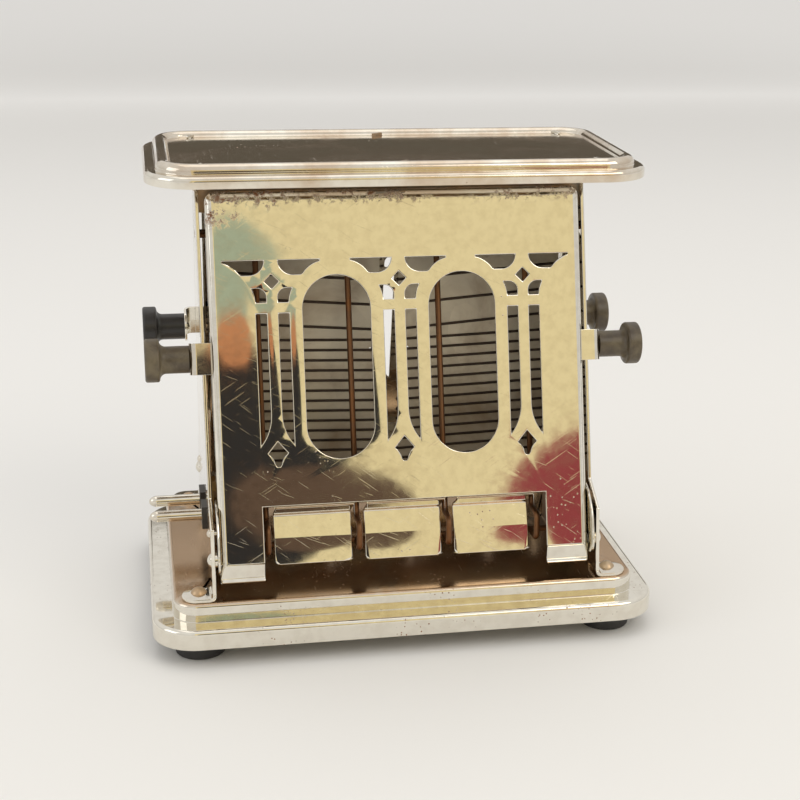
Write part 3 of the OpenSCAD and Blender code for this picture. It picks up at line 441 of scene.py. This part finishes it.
def deselect():
    if bpy.context.object and bpy.context.object.mode != "OBJECT":
        bpy.ops.object.mode_set(mode="OBJECT")
    bpy.ops.object.select_all(action="DESELECT")


def activate(piece):
    deselect()
    piece.select_set(True)
    bpy.context.view_layer.objects.active = piece


def modify(piece, kind, **settings):
    activate(piece)
    modifier = piece.modifiers.new(kind.title(), kind)
    for key, value in settings.items():
        setattr(modifier, key, value)
    bpy.ops.object.modifier_apply(modifier=modifier.name)


def dress(node, paint_name, edge, segments=2):
    """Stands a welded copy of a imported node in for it, with its sharp edges rounded."""
    source = frame["nodes"][node]
    piece = bpy.data.objects.new(f"{node}_dressed", source.data.copy())
    bpy.context.scene.collection.objects.link(piece)
    activate(piece)
    bpy.ops.mesh.customdata_custom_splitnormals_clear()
    bpy.ops.object.mode_set(mode="EDIT")
    bpy.ops.mesh.select_all(action="SELECT")
    bpy.ops.mesh.remove_doubles(threshold=2e-6)
    bpy.ops.object.mode_set(mode="OBJECT")
    if edge:
        modify(
            piece, "BEVEL", width=edge, segments=segments, limit_method="ANGLE",
            angle_limit=math.radians(40), use_clamp_overlap=False, harden_normals=False,
        )
    activate(piece)
    bpy.ops.object.shade_smooth_by_angle(angle=math.radians(32))
    modify(piece, "WEIGHTED_NORMAL", keep_sharp=True, weight=100)
    paint(piece, paint_name)
    stand_in(piece, node)
    return piece


def stand_in(piece, node):
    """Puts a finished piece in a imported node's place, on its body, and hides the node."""
    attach(piece, frame["nodes"][node]["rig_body"])
    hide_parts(node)
    return piece


def refinish(names, paint_name):
    """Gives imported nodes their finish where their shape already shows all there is."""
    for name in names:
        node = frame["nodes"][name]
        node.data.materials.clear()
        node.data.materials.append(bpy.data.materials[paint_name])


class ToasterOperator(bpy.types.Operator):
    """Shared by the toaster's operators."""

    bl_options = {"REGISTER", "UNDO"}

    def execute(self, context):
        self.build(context)
        return {"FINISHED"}


class TOASTER_OT_materials(ToasterOperator):
    """Make the finishes: aged chrome, wire, mica, brass, mouldings and rubber"""

    bl_idname = "toaster.materials"
    bl_label = "Finishes"

    def build(self, context):
        make_materials()


class TOASTER_OT_doors(ToasterOperator):
    """Round the pierced doors' edges and finish them with their ears and knob straps"""

    bl_idname = "toaster.doors"
    bl_label = "Doors"

    def build(self, context):
        edges = context.scene.toaster_edges
        for side in ("front", "rear"):
            dress(f"door_{side}", "Door chrome", edges.sheet)
            dress(f"hinge_ears_{side}", "Plate chrome", edges.sheet)
            for end in ("left", "right"):
                dress(f"knob_strap_{side}_{end}", "Plate chrome", edges.small)


class TOASTER_OT_knobs(ToasterOperator):
    """Finish the turned knobs and their screws"""

    bl_idname = "toaster.knobs"
    bl_label = "Knobs"

    def build(self, context):
        refinish(["knob_front_left", "knob_front_right", "knob_rear_right"], "Brown knob")
        refinish(["knob_rear_left"], "Black knob")
        refinish(["knob_screws_front", "knob_screws_rear"], "Pin plating")


class TOASTER_OT_casing(ToasterOperator):
    """Round the edges of the tray, cover and end plates and finish them"""

    bl_idname = "toaster.casing"
    bl_label = "Casing"

    def build(self, context):
        edges = context.scene.toaster_edges
        dress("base_tray", "Tray chrome", edges.sheet)
        dress("top_cover", "Cover chrome", edges.sheet)
        dress("end_plate_left", "Plate chrome", edges.plate)
        dress("end_plate_right", "Plate chrome", edges.plate)
        refinish(["feet"], "Foot rubber")
        refinish(["foot_rivets", "rail_rivets"], "Rivet plating")
        refinish(["foot_washers"], "Inner steel")
        refinish(["hinge_pins", "stop_studs"], "Pin plating")


class TOASTER_OT_element(ToasterOperator):
    """Finish the heating element, its carriers and its leads"""

    bl_idname = "toaster.element"
    bl_label = "Heating element"

    def build(self, context):
        refinish(["mica_card_left", "mica_card_right"], "Mica sheet")
        refinish(["winding_left", "winding_right"], "Ribbon")
        inner = ["top_rail", "cross_strap", "lower_strap", "strap_rivets", "card_clips"]
        refinish(inner, "Inner steel")
        refinish(["jumper_strip", "lead_strip", "return_strip", "pin_nuts"], "Brass strip")


class TOASTER_OT_guards(ToasterOperator):
    """Finish the bread guard wires"""

    bl_idname = "toaster.guards"
    bl_label = "Bread guards"

    def build(self, context):
        refinish(["guard_front", "guard_rear"], "Guard wire")


class TOASTER_OT_inlet(ToasterOperator):
    """Finish the plug pins and their insulating washers"""

    bl_idname = "toaster.inlet"
    bl_label = "Plug pins"

    def build(self, context):
        refinish(["plug_pins"], "Pin plating")
        refinish(["pin_insulators"], "Insulator")


def stage_material(name, tint, glow=0.0):
    """Matt paint for the stage; what glows looks the same however the lamps stand."""
    made, s = material(name)
    node = s.add("ShaderNodeBsdfPrincipled", {"Base Color": (*tint, 1), "Roughness": 0.9})
    if glow:
        node.inputs["Base Color"].default_value = (0, 0, 0, 1)
        node.inputs["Emission Color"].default_value = (*tint, 1)
        node.inputs["Emission Strength"].default_value = glow
    s.add("ShaderNodeOutputMaterial", {"Surface": node.outputs["BSDF"]})
    return made


def card(name, place, size, tint, round_card, turn):
    """An upright card that shows its own colour, square or round, modelled in its place."""
    deselect()
    if round_card:
        bpy.ops.mesh.primitive_circle_add(vertices=48, radius=0.5, fill_type="NGON")
    else:
        bpy.ops.mesh.primitive_plane_add(size=1)
    piece = bpy.context.object
    piece.name = name
    piece.scale = (*size, 1)
    piece.rotation_euler = (math.radians(90), math.radians(turn), 0)
    piece.location = place
    bpy.ops.object.transform_apply(location=True, rotation=True, scale=True)
    piece.data.materials.append(stage_material(name, tint, glow=1.0))
    return piece


def soft_light(name, place, aim, size, power, tint):
    data = bpy.data.lights.new(name, "AREA")
    data.shape = "RECTANGLE"
    data.size, data.size_y = size
    data.energy = power
    data.color = tint
    lamp = bpy.data.objects.new(name, data)
    lamp.location = place
    lamp.rotation_euler = (Vector(aim) - Vector(place)).to_track_quat("-Z", "Y").to_euler()
    bpy.context.scene.collection.objects.link(lamp)
    return lamp


# Cards that the chrome mirrors: name, place, size, colour setting, whether round, turn in degrees
CARDS = (
    ("Warm wall", (0.25, -1.70, 0.62), (1.3, 1.1), "warm", False, 0),
    ("Dark cloth", (-0.02, -1.62, 0.31), (0.36, 0.46), "card", True, 24),
    ("Dark fold", (0.13, -1.61, 0.27), (0.26, 0.13), "fold", True, 12),
    ("Green card", (0.02, -1.60, 0.61), (0.13, 0.17), "green", True, -18),
    ("Orange card", (0.03, -1.59, 0.515), (0.10, 0.07), "orange", True, 0),
    ("Red card", (0.49, -1.60, 0.25), (0.22, 0.24), "red", True, 30),
    ("Dark backdrop", (0.27, 1.60, 0.46), (1.5, 0.36), "backdrop", False, 0),
)


class TOASTER_OT_stage(ToasterOperator):
    """Set the camera, the soft lights, the pale floor and the cards that the chrome mirrors"""

    bl_idname = "toaster.stage"
    bl_label = "Stage"

    def build(self, context):
        scene = context.scene
        given = scene.toaster_stage
        data = bpy.data.cameras.new("Photograph")
        data.lens = given.lens
        data.sensor_width = 36
        data.shift_x, data.shift_y = given.shift_x, given.shift_y
        data.clip_start, data.clip_end = 0.01, 20
        camera = bpy.data.objects.new("Photograph", data)
        camera.location = given.camera_place
        camera.rotation_euler = given.camera_turn
        scene.collection.objects.link(camera)
        scene.camera = camera
        scene.view_settings.view_transform = "Standard"
        deselect()
        bpy.ops.mesh.primitive_plane_add(size=30, location=(0, 0, 0))
        floor = context.object
        floor.name = "Floor"
        bpy.ops.object.transform_apply(location=True)
        floor.data.materials.append(stage_material("Floor", tuple(given.floor)))
        middle = (0, 0, 0.1)
        for name, place, size, tint, round_card, turn in CARDS:
            card(name, place, size, tuple(getattr(given, tint)), round_card, turn)
        soft_light("Key", (0.9, -1.1, 1.35), middle, (1.1, 0.9), given.key, (1.0, 0.93, 0.80))
        soft_light("Fill", (-1.2, -0.3, 0.7), middle, (0.8, 0.8), given.fill, (0.92, 0.96, 1.0))
        soft_light("Top", (0.0, 0.3, 1.4), middle, (1.0, 1.0), given.fill, (1.0, 0.97, 0.92))
        world = bpy.data.worlds.new("Studio")
        scene.world = world
        world.use_nodes = True
        world.node_tree.nodes.clear()
        s = Shader(world.node_tree)
        way = s.add("ShaderNodeTexCoord").outputs["Generated"]
        up = s.add("ShaderNodeSeparateXYZ", {0: way}).outputs["Z"]
        sky = s.mix(s.ramp(up, -0.1, 0.7), (0.80, 0.78, 0.74), (1.0, 0.98, 0.95))
        # A narrow white band along the horizon carries the pale floor on into the backdrop
        horizon = tuple(c / given.world for c in (0.93, 0.925, 0.915))
        sky = s.mix(s.ramp(up, 0.03, 0.06), horizon, sky)
        lit = s.add("ShaderNodeBackground", {"Color": sky, "Strength": given.world})
        s.add("ShaderNodeOutputWorld", {"Surface": lit.outputs[0]})


class TOASTER_PT_panel(bpy.types.Panel):
    """Lists the toaster's steps in the sidebar"""

    bl_label = "Drop side toaster"
    bl_idname = "TOASTER_PT_panel"
    bl_space_type = "VIEW_3D"
    bl_region_type = "UI"
    bl_category = "Toaster"

    def draw(self, context):
        for step in STEPS:
            self.layout.operator(step.bl_idname)


STEPS = (
    TOASTER_OT_stage,
    TOASTER_OT_materials,
    TOASTER_OT_casing,
    TOASTER_OT_doors,
    TOASTER_OT_knobs,
    TOASTER_OT_guards,
    TOASTER_OT_element,
    TOASTER_OT_inlet,
)
CLASSES = (ToasterFinish, ToasterEdges, ToasterStage, *STEPS, TOASTER_PT_panel)


def register():
    for item in CLASSES:
        bpy.utils.register_class(item)
    bpy.types.Scene.toaster_finish = PointerProperty(type=ToasterFinish)
    bpy.types.Scene.toaster_edges = PointerProperty(type=ToasterEdges)
    bpy.types.Scene.toaster_stage = PointerProperty(type=ToasterStage)


def unregister():
    del bpy.types.Scene.toaster_stage
    del bpy.types.Scene.toaster_edges
    del bpy.types.Scene.toaster_finish
    for item in reversed(CLASSES):
        bpy.utils.unregister_class(item)


def main():
    register()
    for step in STEPS:
        group_name, step_name = step.bl_idname.split(".")
        getattr(getattr(bpy.ops, group_name), step_name)()


if __name__ == "__main__":
    main()
